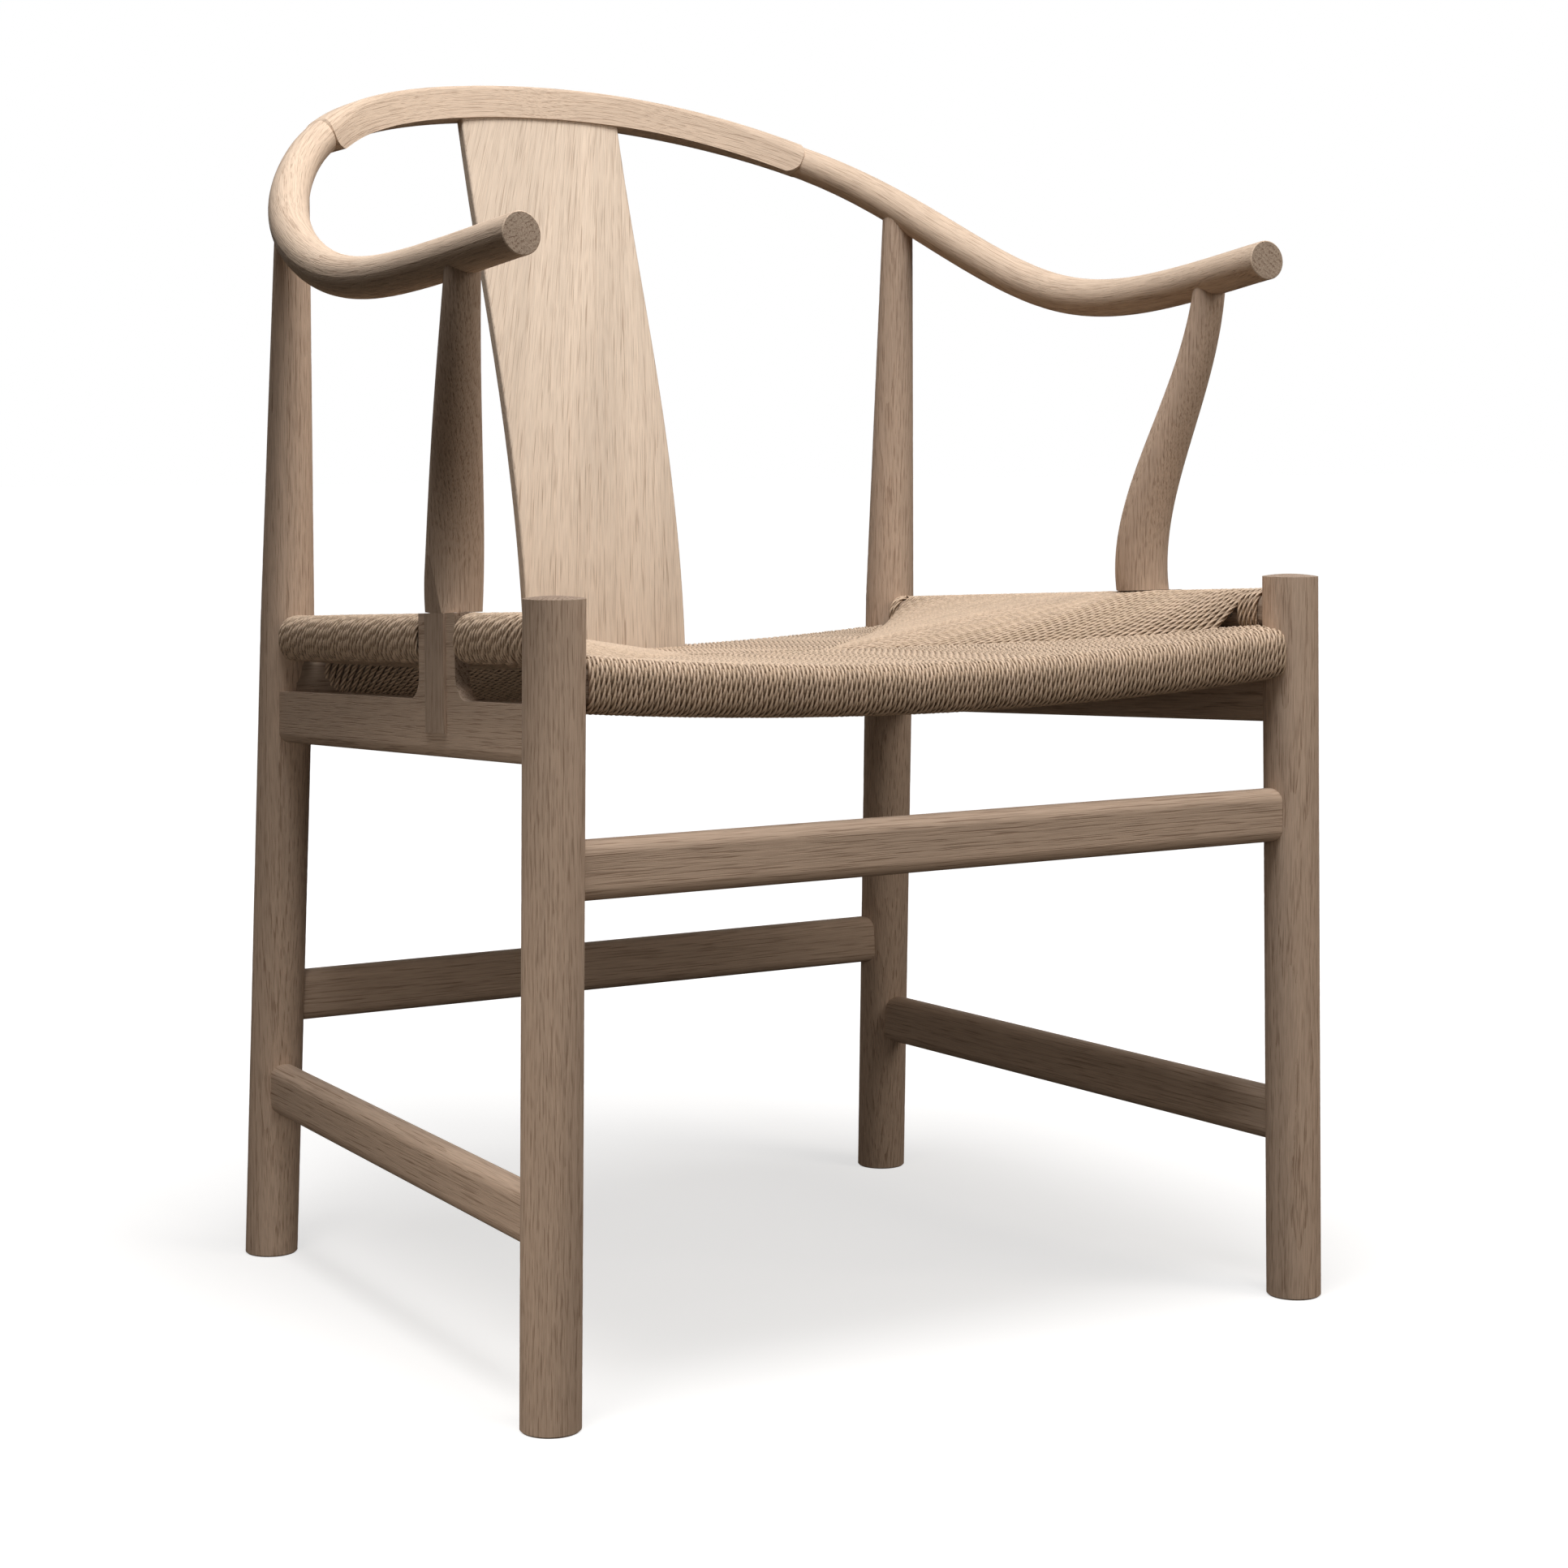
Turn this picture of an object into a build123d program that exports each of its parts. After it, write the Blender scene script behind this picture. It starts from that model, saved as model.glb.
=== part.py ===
from build123d import *
import os

os.makedirs("parts", exist_ok=True)

# Horseshoe back armchair in solid oak with a seat of twisted paper cord.
# Millimetres. +Z up, the front faces -Y, +X is the sitter's left, x = 0 is the mirror plane.
# The origin lies on the floor, under the middle of the chair's box.
# Each piece of a pair is modelled on the +X side and mirrored for the other.

# ---- seat heights: the cord over the side rails, at the legs --------------------------------
seat_height_front = 456.7
seat_height_rear = 433.4

# ---- legs -------------------------------------------------------------------------------
leg_diameter = 35.0
front_leg_above_seat = 6.8
front_foot_x = 270.5
front_foot_y = -264.5
front_top_x = 261.5
front_top_y = -259.5
leg_dome = 1.5
dome_radius = 103.0
foot_chamfer = 1.0
rear_foot_x = 248.5
rear_foot_y = 185.5
rear_knee_x = 239.0
rear_knee_y = 162.0
rear_knee_above_seat = 0.6
rear_leg_top_diameter = 21.4

# ---- bent rail ----------------------------------------------------------------------------
rail_route_half = [
    (0.0, 267.0, 784.6),
    (134.0, 249.0, 770.7),
    (214.0, 179.4, 734.1),
    (260.0, 98.0, 684.0),
    (274.0, 4.0, 650.0),
    (272.0, -126.0, 649.0),
    (264.0, -229.5, 662.0),
]
rail_neck_radius = 11.4
rail_bend_radius = 13.2
arm_radius = 12.4
arm_end_chamfer = 0.6
neck_swell_share = 0.3
crest_sections = 10
arm_sections = 14
crest_height = 23.6
crest_depth = 24.4
crest_lean = 13.5
crest_half_share = 0.145
crest_stop_radius = 12.6
crest_front_round = 3.0
crest_front_end_round = 9.5
crest_back_round = 10.8
crest_lower_back_round = 12.4
rear_leg_share = 0.7112
arm_post_share = 0.9545

# ---- splat --------------------------------------------------------------------------------
splat_width = 125.0
splat_thickness = 9.0
splat_edge_round = 1.6
splat_foot_y = 157.0
splat_foot_below_seat = 48.4
splat_straight_above_seat = 41.6
splat_front_line = [
    (splat_foot_y, seat_height_rear - splat_foot_below_seat),
    (166.5, seat_height_rear + splat_straight_above_seat),
    (191.5, 579.0),
    (225.5, 682.0),
    (256.0, 782.0),
]

# ---- arm posts ------------------------------------------------------------------------------
post_low = (254.0, -122.0, 495.0)
post_middle = (260.5, -139.0, 552.0)
post_high = (267.0, -157.0, 605.0)
post_foot_diameter = 35.0
post_low_diameter = 33.6
post_middle_diameter = 29.2
post_high_diameter = 24.2
post_top_diameter = 20.4
post_from_front_leg = 141.0
tongue_width = 28.5
tongue_thickness = 7.0
tongue_proud = 1.7
tongue_length = 70.0
post_flat_lean = 6.2
post_foot_out = 0.6

# ---- cord and seat rails ----------------------------------------------------------------------
cord_diameter = 3.2
side_rail_height = 24.0
side_rail_thickness = 20.0
side_rail_round = 9.0
block_relief = 62.0
front_rail_thickness = 20.0
front_rail_end_height = 27.0
front_rail_middle_height = 24.0
front_rail_below_seat = 25.9
front_rail_dip = 14.5
rear_rail_thickness = 29.0
rear_rail_end_height = 33.0
rear_rail_middle_height = 32.0
rear_rail_below_seat = 23.6
rear_rail_dip = 10.0
rear_rail_forward = 2.8
dished_rail_round = 8.0
cord_slot_width = 3.6
cord_slot_ahead = 0.2

# ---- side aprons ----------------------------------------------------------------------------
apron_thickness = 22.0
apron_height = 34.0
apron_below_seat_front = 51.2
apron_below_seat_rear = 49.9
apron_lower_round = 7.0
block_width = 54.5
block_thickness = 9.0
block_shoulder_round = 15.0

# ---- stretchers -----------------------------------------------------------------------------
stretcher_height = 34.0
stretcher_thickness = 18.0
stretcher_round = 8.0
front_stretcher_level = 313.0
rear_stretcher_level = 176.5
side_stretcher_level = 116.0

# ---- joints ---------------------------------------------------------------------------------
joint_clearance = 0.1
tenon_thickness = 10.0
tenon_length = 12.0
tenon_round = 4.5
tenon_bottom_gap = 0.5
rail_tenon_height = 16.0
apron_tenon_height = 24.0
stretcher_tenon_height = 22.0
leg_pin_diameter = 13.0
post_pin_diameter = 11.0
pin_past_centre = 2.0
pin_root = 6.0

# ---- cord tacks -----------------------------------------------------------------------------
tack_head_diameter = 6.0
tack_head_thickness = 1.0
tack_shank_diameter = 1.6
tack_shank_length = 8.0
tack_from_leg = 45.0

# ---- woven panel ------------------------------------------------------------------------------
panel_below_seat = 42.7
panel_middle_thickness = 11.0
panel_ridge_half = 55.0
panel_ridge_y = -50.0
panel_corner_rise = 8.0

UP = Vector(0, 0, 1)
leg_radius = leg_diameter / 2
front_leg_height = seat_height_front + front_leg_above_seat
rear_knee_height = seat_height_rear + rear_knee_above_seat
front_rail_end_top = seat_height_front - front_rail_below_seat
rear_rail_end_top = seat_height_rear - rear_rail_below_seat
apron_front_top = seat_height_front - apron_below_seat_front
apron_rear_top = seat_height_rear - apron_below_seat_rear
panel_middle_top = seat_height_front - panel_below_seat


def point_at_height(low, high, height):
    """The point at a height on the straight line through low and high."""
    return low + (high - low) * ((height - low.Z) / (high.Z - low.Z))


front_foot = Vector(front_foot_x, front_foot_y, 0)
front_top = Vector(front_top_x, front_top_y, front_leg_height)
rear_foot = Vector(rear_foot_x, rear_foot_y, 0)
rear_knee = Vector(rear_knee_x, rear_knee_y, rear_knee_height)


def front_axis(height):
    return point_at_height(front_foot, front_top, height)


def rear_axis(height):
    return point_at_height(rear_foot, rear_knee, height)


def mirrored_x(point):
    return Vector(-point.X, point.Y, point.Z)


# The bent rail's centre line runs from the left arm end round the crest to the right arm end.
right_half = [Vector(*point) for point in rail_route_half]
left_half = [mirrored_x(point) for point in reversed(right_half[1:])]
rail_route = Edge.make_spline(left_half + right_half)


def rail_plane(share, lean=0.0):
    """A plane square to the rail, its x pointing out of the horseshoe, leaning back by lean."""
    along = (rail_route % share).normalized()
    outward = UP.cross(along).normalized()
    outward = outward.rotate(Axis((0, 0, 0), along), -lean)
    return Plane(origin=rail_route @ share, x_dir=outward, z_dir=along)


rear_leg_top = rail_route @ rear_leg_share
post_head = rail_route @ arm_post_share

# The side frame: a vertical plane through the axes of the front and rear leg.
# Its x runs from the front leg to the rear one, its y is the height, its z points outward.
seat_front = front_axis(seat_height_front)
seat_rear = rear_axis(seat_height_rear)
side_run = Vector(seat_rear.X - seat_front.X, seat_rear.Y - seat_front.Y, 0)
side_length = side_run.length
side_out = side_run.cross(UP).normalized()
side_plane = Plane(origin=(seat_front.X, seat_front.Y, 0), x_dir=side_run, z_dir=side_out)


def side_point(along, height, out=0.0):
    return side_plane.from_local_coords(Vector(along, height, out))


def sloped(front_height, rear_height, along):
    """The height, at a place along the side, of a line from the front leg to the rear leg."""
    return front_height + (rear_height - front_height) * along / side_length


def seat_line(along):
    """The height of the cord over the side rail."""
    return sloped(seat_height_front, seat_height_rear, along)


def apron_line(along):
    """The height of the apron's upper edge."""
    return sloped(apron_front_top, apron_rear_top, along)


def seat_strip(start, end, below, above):
    """A strip of the side plane that follows the seat line, from below it to above it."""
    with BuildLine() as outline:
        Polyline(
            (start, seat_line(start) - below),
            (end, seat_line(end) - below),
            (end, seat_line(end) + above),
            (start, seat_line(start) + above),
            close=True,
        )
    make_face(outline.edges())


rail_half_wrapped = side_rail_height / 2 + cord_diameter


def bar_plane(start, end):
    """A plane square to a bar at its start, with its y upright and its x level."""
    along = (end - start).normalized()
    return Plane(origin=start, x_dir=UP.cross(along), z_dir=along)


def add_bar(start, end, thickness, height, corner):
    """A straight bar of rounded rectangular section from start to end."""
    with BuildSketch(bar_plane(start, end)) as section:
        RectangleRounded(thickness, height, corner)
    extrude(section.sketch, amount=(end - start).length)


def add_tenons(start, end, height):
    """Tenons at both ends of a bar that runs from leg axis to leg axis."""
    for here, there in ((start, end), (end, start)):
        with BuildSketch(bar_plane(here, there).offset(leg_radius - tenon_length)) as section:
            RectangleRounded(tenon_thickness, height, tenon_round)
        extrude(section.sketch, amount=tenon_length + tenon_round)


def cut_mortise(here, there, height):
    """The mortise in a leg for the tenon of a bar that runs from here to there."""
    depth = tenon_length + tenon_bottom_gap
    with BuildSketch(bar_plane(here, there).offset(leg_radius - depth)) as section:
        RectangleRounded(
            tenon_thickness + 2 * joint_clearance,
            height + 2 * joint_clearance,
            tenon_round + joint_clearance,
        )
    extrude(section.sketch, amount=depth + tenon_round, mode=Mode.SUBTRACT)


def save(part, name):
    part.label = name
    export_step(part, f"parts/{name}.step")


def save_pair(part, name):
    save(part, name + "_left")
    save(mirror(part, about=Plane.YZ), name + "_right")


# ---- round blanks of the legs, before their joints are cut -------------------------------------
with BuildPart() as front_leg_blank:
    for height in (0.0, front_leg_height):
        with BuildSketch(Plane.XY.offset(height)):
            with Locations((front_axis(height).X, front_axis(height).Y)):
                Circle(leg_radius)
    loft(ruled=True)
    chamfer(front_leg_blank.edges().sort_by(Axis.Z)[0], foot_chamfer)

with BuildPart() as rear_leg_blank:
    for centre, radius in (
        (rear_foot, leg_radius),
        (rear_knee, leg_radius),
        (rear_leg_top, rear_leg_top_diameter / 2),
    ):
        with BuildSketch(Plane.XY.offset(centre.Z)):
            with Locations((centre.X, centre.Y)):
                Circle(radius)
    loft(ruled=True)
    chamfer(rear_leg_blank.edges().sort_by(Axis.Z)[0], foot_chamfer)

leg_blanks = [
    front_leg_blank.part,
    rear_leg_blank.part,
    mirror(front_leg_blank.part, about=Plane.YZ),
    mirror(rear_leg_blank.part, about=Plane.YZ),
]


def cut_round_legs():
    """Scribes the ends of a rail to the round legs."""
    for leg in leg_blanks:
        add(leg, mode=Mode.SUBTRACT)


# ---- bent rail blank: round arms that grow out of a squared crest ------------------------------
crest_end = 0.5 + crest_half_share
stop_share = crest_stop_radius / rail_route.length


def crest_section(share):
    """Flat in front and below, with a sharp edge between, and rounded at the back."""
    front, back = -crest_depth / 2, crest_depth / 2
    low, high = -crest_height / 2, crest_height / 2
    # Towards its ends the crest's upper front edge rounds over into the arms.
    ease = min(1.0, abs(share - 0.5) / crest_half_share) ** 4
    front_round = crest_front_round + (crest_front_end_round - crest_front_round) * ease
    with BuildSketch(rail_plane(share, crest_lean)) as section:
        with BuildLine():
            FilletPolyline(
                (front, low),
                (front, high),
                (back, high),
                (back, low),
                (front / 2, low),
                radius=[front_round, crest_back_round, crest_lower_back_round],
            )
            Line((front / 2, low), (front, low))
        make_face()
    return section.sketch


def arm_section(share):
    """A round section: the neck at the crest swells to the bend and thins to the arm end."""
    gone = max(0.0, (share - crest_end) / (1 - crest_end))
    swell = min(1.0, gone / neck_swell_share)
    swell = swell * swell * (3 - 2 * swell)
    radius = rail_neck_radius + (rail_bend_radius - rail_neck_radius) * swell
    radius += (arm_radius - rail_bend_radius) * gone
    with BuildSketch(rail_plane(share)) as section:
        Circle(radius)
    return section.sketch


with BuildPart() as crest:
    crest_from = 0.5 - crest_half_share - stop_share
    crest_to = crest_end + stop_share
    crest_step = (crest_to - crest_from) / crest_sections
    loft([crest_section(crest_from + crest_step * i) for i in range(crest_sections + 1)])
    # Both ends stop in a half round, seen square to the flat front facet.
    for share, sense in ((crest_end, 1), (1 - crest_end, -1)):
        section_plane = rail_plane(share, crest_lean)
        stop_plane = Plane(
            origin=section_plane.origin,
            x_dir=section_plane.z_dir * sense,
            z_dir=section_plane.x_dir,
        )
        with BuildSketch(stop_plane):
            with Locations((crest_stop_radius, 0)):
                Rectangle(2 * crest_stop_radius, 4 * crest_stop_radius)
            Circle(crest_stop_radius, mode=Mode.SUBTRACT)
        extrude(amount=crest_depth, both=True, mode=Mode.SUBTRACT)

with BuildPart() as arm_blank:
    arm_from = crest_end - stop_share
    arm_step = (1 - arm_from) / arm_sections
    loft([arm_section(arm_from + arm_step * i) for i in range(arm_sections + 1)])
    end_face = arm_blank.faces().sort_by(Axis.Y)[0]
    chamfer(end_face.edges(), arm_end_chamfer)

arm_blank_right = mirror(arm_blank.part, about=Plane.YZ)


# ---- splat -------------------------------------------------------------------------------------
def add_splat(gap):
    """The curved board, made larger by gap on its faces and edges."""
    front = [(y - gap, z) for y, z in splat_front_line]
    back = [(y + splat_thickness + gap, z) for y, z in reversed(splat_front_line)]
    with BuildSketch(Plane.YZ) as profile:
        with BuildLine():
            Spline(*front)
            Line(front[-1], back[0])
            Spline(*back)
            Line(back[-1], front[0])
        make_face()
    extrude(profile.sketch, amount=splat_width / 2 + gap, both=True)


with BuildPart() as back_splat:
    add_splat(0)
    fillet(back_splat.edges().filter_by(GeomType.BSPLINE), splat_edge_round)
save(back_splat.part, "back_splat")

with BuildPart() as splat_space:
    add_splat(joint_clearance)


# ---- pins that carry the bent rail -------------------------------------------------------------
def add_pin(head, along, diameter, past_centre, mode=Mode.ADD):
    """A round pin on a leg or post: it ends just past the centre of the bent rail."""
    length = rail_bend_radius + past_centre + pin_root
    with BuildSketch(Plane(origin=head + along * past_centre, z_dir=along)) as section:
        Circle(diameter / 2)
    extrude(section.sketch, amount=-length, mode=mode)


rear_leg_along = (rear_leg_top - rear_knee).normalized()
post_along = (post_head - Vector(*post_high)).normalized()
rail_pins = (
    (rear_leg_top, rear_leg_along, leg_pin_diameter),
    (post_head, post_along, post_pin_diameter),
)

with BuildPart() as pin_holes:
    for head, along, diameter in rail_pins:
        add_pin(head, along, diameter + 2 * joint_clearance, pin_past_centre + tenon_bottom_gap)

with BuildPart() as arm_rail:
    add(crest.part)
    add(arm_blank.part)
    add(arm_blank_right)
    add(pin_holes.part, mode=Mode.SUBTRACT)
    add(mirror(pin_holes.part, about=Plane.YZ), mode=Mode.SUBTRACT)
    add(splat_space.part, mode=Mode.SUBTRACT)
save(arm_rail.part, "arm_rail")

# ---- side frame places -------------------------------------------------------------------------
block_front = post_from_front_leg - block_width / 2
block_rear = post_from_front_leg + block_width / 2
block_inside = apron_thickness / 2 - block_thickness
flat_outside = apron_thickness / 2 + tongue_proud
side_rail_front = side_point(0, seat_height_front - rail_half_wrapped)
side_rail_rear = side_point(side_length, seat_height_rear - rail_half_wrapped)
apron_front = side_point(0, apron_front_top - apron_height / 2)
apron_rear = side_point(side_length, apron_rear_top - apron_height / 2)

# ---- arm posts ---------------------------------------------------------------------------------
post_foot_height = seat_line(post_from_front_leg)
post_foot = side_point(post_from_front_leg, post_foot_height - joint_clearance, post_foot_out)
post_sections = (
    (post_foot, post_foot_diameter),
    (Vector(*post_low), post_low_diameter),
    (Vector(*post_middle), post_middle_diameter),
    (Vector(*post_high), post_high_diameter),
    (post_head, post_top_diameter),
)
flat_foot = side_point(post_from_front_leg, post_foot_height, flat_outside)
flat_normal = side_out.rotate(Axis((0, 0, 0), side_run), post_flat_lean)

with BuildPart() as arm_post:
    for centre, diameter in post_sections:
        with BuildSketch(Plane.XY.offset(centre.Z)):
            with Locations((centre.X, centre.Y)):
                Circle(diameter / 2)
    loft()
    # The foot is cut along the seat line, and the outside is planed flat down to the tongue.
    with BuildSketch(side_plane):
        seat_strip(0, side_length, leg_diameter, joint_clearance)
    extrude(amount=leg_diameter, both=True, mode=Mode.SUBTRACT)
    with BuildSketch(Plane(origin=flat_foot, x_dir=side_run, z_dir=flat_normal)):
        Rectangle(2 * leg_diameter, 4 * leg_diameter)
    extrude(amount=leg_diameter, mode=Mode.SUBTRACT)
    with BuildSketch(side_plane.offset(flat_outside - tongue_thickness)):
        seat_strip(
            post_from_front_leg - tongue_width / 2,
            post_from_front_leg + tongue_width / 2,
            tongue_length,
            joint_clearance,
        )
    extrude(amount=tongue_thickness)
    add(arm_blank.part, mode=Mode.SUBTRACT)
    add_pin(post_head, post_along, post_pin_diameter, pin_past_centre)
save_pair(arm_post.part, "arm_post")

# ---- side aprons -------------------------------------------------------------------------------
with BuildPart() as side_apron:
    with BuildSketch(side_plane.offset(-apron_thickness / 2)) as apron_outline:
        with BuildLine():
            Polyline(
                (0, apron_line(0) - apron_height),
                (side_length, apron_line(side_length) - apron_height),
                (side_length, apron_line(side_length)),
                (block_rear, apron_line(block_rear)),
                (block_rear, seat_line(block_rear)),
                (block_front, seat_line(block_front)),
                (block_front, apron_line(block_front)),
                (0, apron_line(0)),
                close=True,
            )
        make_face()
        shoulders = [
            corner
            for corner in apron_outline.vertices()
            for place in (block_front, block_rear)
            if (Vector(corner) - Vector(place, apron_line(place))).length < joint_clearance
        ]
        fillet(shoulders, block_shoulder_round)
    extrude(amount=apron_thickness)
    lower_face = side_apron.faces().sort_by(Axis.Z)[0]
    fillet(lower_face.edges().sort_by(SortBy.LENGTH)[-2:], apron_lower_round)
    # Behind the block the apron makes room for the seat rail and its cord.
    with BuildSketch(side_plane.offset(block_inside)):
        seat_strip(
            block_front - apron_thickness,
            block_rear + apron_thickness,
            post_foot_height - apron_line(post_from_front_leg),
            cord_diameter,
        )
    extrude(amount=-2 * apron_thickness, mode=Mode.SUBTRACT)
    # The housing for the arm post's tongue.
    with BuildSketch(side_plane.offset(flat_outside - tongue_thickness - joint_clearance)):
        seat_strip(
            post_from_front_leg - tongue_width / 2 - joint_clearance,
            post_from_front_leg + tongue_width / 2 + joint_clearance,
            tongue_length + joint_clearance,
            cord_diameter,
        )
    extrude(amount=2 * tongue_thickness, mode=Mode.SUBTRACT)
    cut_round_legs()
    add_tenons(apron_front, apron_rear, apron_tenon_height)
save_pair(side_apron.part, "side_apron")

# ---- side seat rails ---------------------------------------------------------------------------
with BuildPart() as side_rail_blank:
    add_bar(
        side_rail_front, side_rail_rear, side_rail_thickness, side_rail_height, side_rail_round
    )
    # The outside is cut back so that the cord also passes between the rail and the block.
    with BuildSketch(side_plane.offset(block_inside - cord_diameter - 2 * joint_clearance)):
        seat_strip(
            post_from_front_leg - block_relief / 2,
            post_from_front_leg + block_relief / 2,
            2 * side_rail_height,
            side_rail_height,
        )
    extrude(amount=side_rail_thickness, mode=Mode.SUBTRACT)

tack_places = [
    side_point(along, seat_line(along) - rail_half_wrapped, -side_rail_thickness / 2)
    for along in (tack_from_leg, side_length - tack_from_leg)
]


def add_tacks(gap, mode=Mode.ADD):
    for place in tack_places:
        face = Plane(origin=place, x_dir=side_run, z_dir=-side_out)
        with BuildSketch(face) as head:
            Circle(tack_head_diameter / 2 + gap)
        extrude(head.sketch, amount=tack_head_thickness + gap, mode=mode)
        with BuildSketch(face) as shank:
            Circle(tack_shank_diameter / 2 + gap)
        extrude(shank.sketch, amount=-tack_shank_length - gap, mode=mode)


with BuildPart() as side_seat_rail:
    add(side_rail_blank.part)
    cut_round_legs()
    add_tenons(side_rail_front, side_rail_rear, rail_tenon_height)
    add_tacks(joint_clearance, Mode.SUBTRACT)
save_pair(side_seat_rail.part, "side_seat_rail")

with BuildPart() as tacks_one_side:
    add_tacks(0)
with BuildPart() as cord_tacks:
    add(tacks_one_side.part)
    add(mirror(tacks_one_side.part, about=Plane.YZ))
save(cord_tacks.part, "cord_tacks")


# ---- front and rear seat rails, dished along their length --------------------------------------
def add_dished_rail(corner, thickness, end_height, middle_height, dip, gap):
    """A dished rail between two leg axes, made larger by gap all round."""
    top = corner.Z + end_height / 2
    upright = Plane(origin=(0, corner.Y, 0), x_dir=(1, 0, 0), z_dir=(0, -1, 0))
    with BuildSketch(upright) as profile:
        with BuildLine():
            upper = ThreePointArc(
                (-corner.X, top + gap), (0, top - dip + gap), (corner.X, top + gap)
            )
            lower = ThreePointArc(
                (-corner.X, top - end_height - gap),
                (0, top - dip - middle_height - gap),
                (corner.X, top - end_height - gap),
            )
            Line(upper @ 0, lower @ 0)
            Line(upper @ 1, lower @ 1)
        make_face()
    extrude(profile.sketch, amount=thickness / 2 + gap, both=True)


front_rail_level = front_rail_end_top - front_rail_end_height / 2
rear_rail_level = rear_rail_end_top - rear_rail_end_height / 2
front_rail_corner = front_axis(front_rail_level)
rear_rail_corner = rear_axis(rear_rail_level) - Vector(0, rear_rail_forward, 0)
front_rail_sizes = (
    front_rail_thickness, front_rail_end_height, front_rail_middle_height, front_rail_dip
)
rear_rail_sizes = (
    rear_rail_thickness, rear_rail_end_height, rear_rail_middle_height, rear_rail_dip
)

with BuildPart() as front_rail_blank:
    add_dished_rail(front_rail_corner, *front_rail_sizes, 0)
    fillet(front_rail_blank.edges().filter_by(GeomType.CIRCLE), dished_rail_round)

with BuildPart() as rear_rail_blank:
    add_dished_rail(rear_rail_corner, *rear_rail_sizes, 0)
    fillet(rear_rail_blank.edges().filter_by(GeomType.CIRCLE), dished_rail_round)

with BuildPart() as front_seat_rail:
    add(front_rail_blank.part)
    cut_round_legs()
    add_tenons(front_rail_corner, mirrored_x(front_rail_corner), rail_tenon_height)
save(front_seat_rail.part, "front_seat_rail")

with BuildPart() as rear_seat_rail:
    add(rear_rail_blank.part)
    cut_round_legs()
    # Its lower corners are trimmed to the inside of the aprons.
    add(side_apron.part, mode=Mode.SUBTRACT)
    add(mirror(side_apron.part, about=Plane.YZ), mode=Mode.SUBTRACT)
    add_tenons(rear_rail_corner, mirrored_x(rear_rail_corner), rail_tenon_height)
    add(splat_space.part, mode=Mode.SUBTRACT)
    # The cords in front of the splat pass down through a slot.
    with BuildSketch(Plane.XY.offset(rear_rail_level - rear_rail_end_height)):
        with Locations((0, splat_foot_y - cord_slot_width / 2 - cord_slot_ahead)):
            Rectangle(splat_width, cord_slot_width)
    extrude(amount=2 * rear_rail_end_height, mode=Mode.SUBTRACT)
save(rear_seat_rail.part, "rear_seat_rail")


# ---- stretchers --------------------------------------------------------------------------------
def make_stretcher(start, end):
    with BuildPart() as stretcher:
        add_bar(start, end, stretcher_thickness, stretcher_height, stretcher_round)
        cut_round_legs()
        add_tenons(start, end, stretcher_tenon_height)
    return stretcher.part


front_stretcher_end = front_axis(front_stretcher_level)
rear_stretcher_end = rear_axis(rear_stretcher_level)
side_stretcher_front = front_axis(side_stretcher_level)
side_stretcher_rear = rear_axis(side_stretcher_level)
save(make_stretcher(front_stretcher_end, mirrored_x(front_stretcher_end)), "front_stretcher")
save(make_stretcher(rear_stretcher_end, mirrored_x(rear_stretcher_end)), "rear_stretcher")
save_pair(make_stretcher(side_stretcher_front, side_stretcher_rear), "side_stretcher")

# ---- legs with their mortises ------------------------------------------------------------------
with BuildPart() as front_leg:
    add(front_leg_blank.part)
    with BuildSketch(Plane(origin=front_top, x_dir=(1, 0, 0), z_dir=(0, -1, 0))):
        with BuildLine():
            dome = RadiusArc((0, leg_dome), (leg_radius, 0), dome_radius)
            Line((leg_radius, 0), (0, 0))
            Line((0, 0), (0, leg_dome))
        make_face()
    revolve(axis=Axis((front_top.X, front_top.Y, 0), (0, 0, 1)))
    cut_mortise(side_rail_front, side_rail_rear, rail_tenon_height)
    cut_mortise(apron_front, apron_rear, apron_tenon_height)
    cut_mortise(side_stretcher_front, side_stretcher_rear, stretcher_tenon_height)
    cut_mortise(front_rail_corner, mirrored_x(front_rail_corner), rail_tenon_height)
    cut_mortise(front_stretcher_end, mirrored_x(front_stretcher_end), stretcher_tenon_height)
save_pair(front_leg.part, "front_leg")

with BuildPart() as rear_leg:
    add(rear_leg_blank.part)
    add(arm_blank.part, mode=Mode.SUBTRACT)
    cut_mortise(side_rail_rear, side_rail_front, rail_tenon_height)
    cut_mortise(apron_rear, apron_front, apron_tenon_height)
    cut_mortise(side_stretcher_rear, side_stretcher_front, stretcher_tenon_height)
    cut_mortise(rear_rail_corner, mirrored_x(rear_rail_corner), rail_tenon_height)
    cut_mortise(rear_stretcher_end, mirrored_x(rear_stretcher_end), stretcher_tenon_height)
    add_pin(rear_leg_top, rear_leg_along, leg_pin_diameter, pin_past_centre)
save_pair(rear_leg.part, "rear_leg")

# ---- woven cord seat: the cord wrapped round the four rails, and the dished panel between ------
panel_edge = cord_diameter / 2


def panel_pair(x, y, top, bottom):
    """An upper and a lower corner of the panel."""
    return Vector(x, y, top), Vector(x, y, bottom)


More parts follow.
